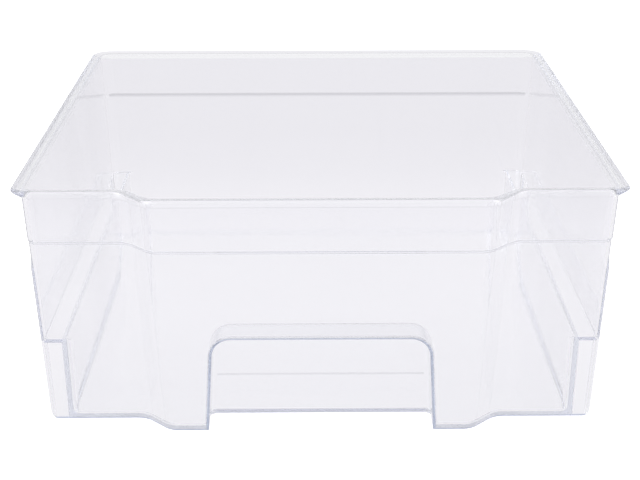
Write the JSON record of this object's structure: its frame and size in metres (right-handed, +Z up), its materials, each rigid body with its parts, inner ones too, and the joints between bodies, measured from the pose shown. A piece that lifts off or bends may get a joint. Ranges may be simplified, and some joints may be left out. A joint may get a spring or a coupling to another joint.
{
  "type": "refrigerator organizer bin",
  "caption": "Clear open-topped refrigerator drawer bin with a rim flange, a bulged front with a finger pocket let in from below, and side walls set in under a ledge.",
  "frame": {"origin": "middle of the base, at the level it stands on", "axes": "+Z up out of the open top, -Y out of the bulged front with the finger pocket, +X to the right of someone facing that front"},
  "size_m": [0.379, 0.397, 0.16],
  "materials": {
    "clear_plastic": "clear moulded plastic, glossy"
  },
  "bodies": {
    "root": {"drawer_bin": "clear_plastic"}
  },
  "joints": []
}
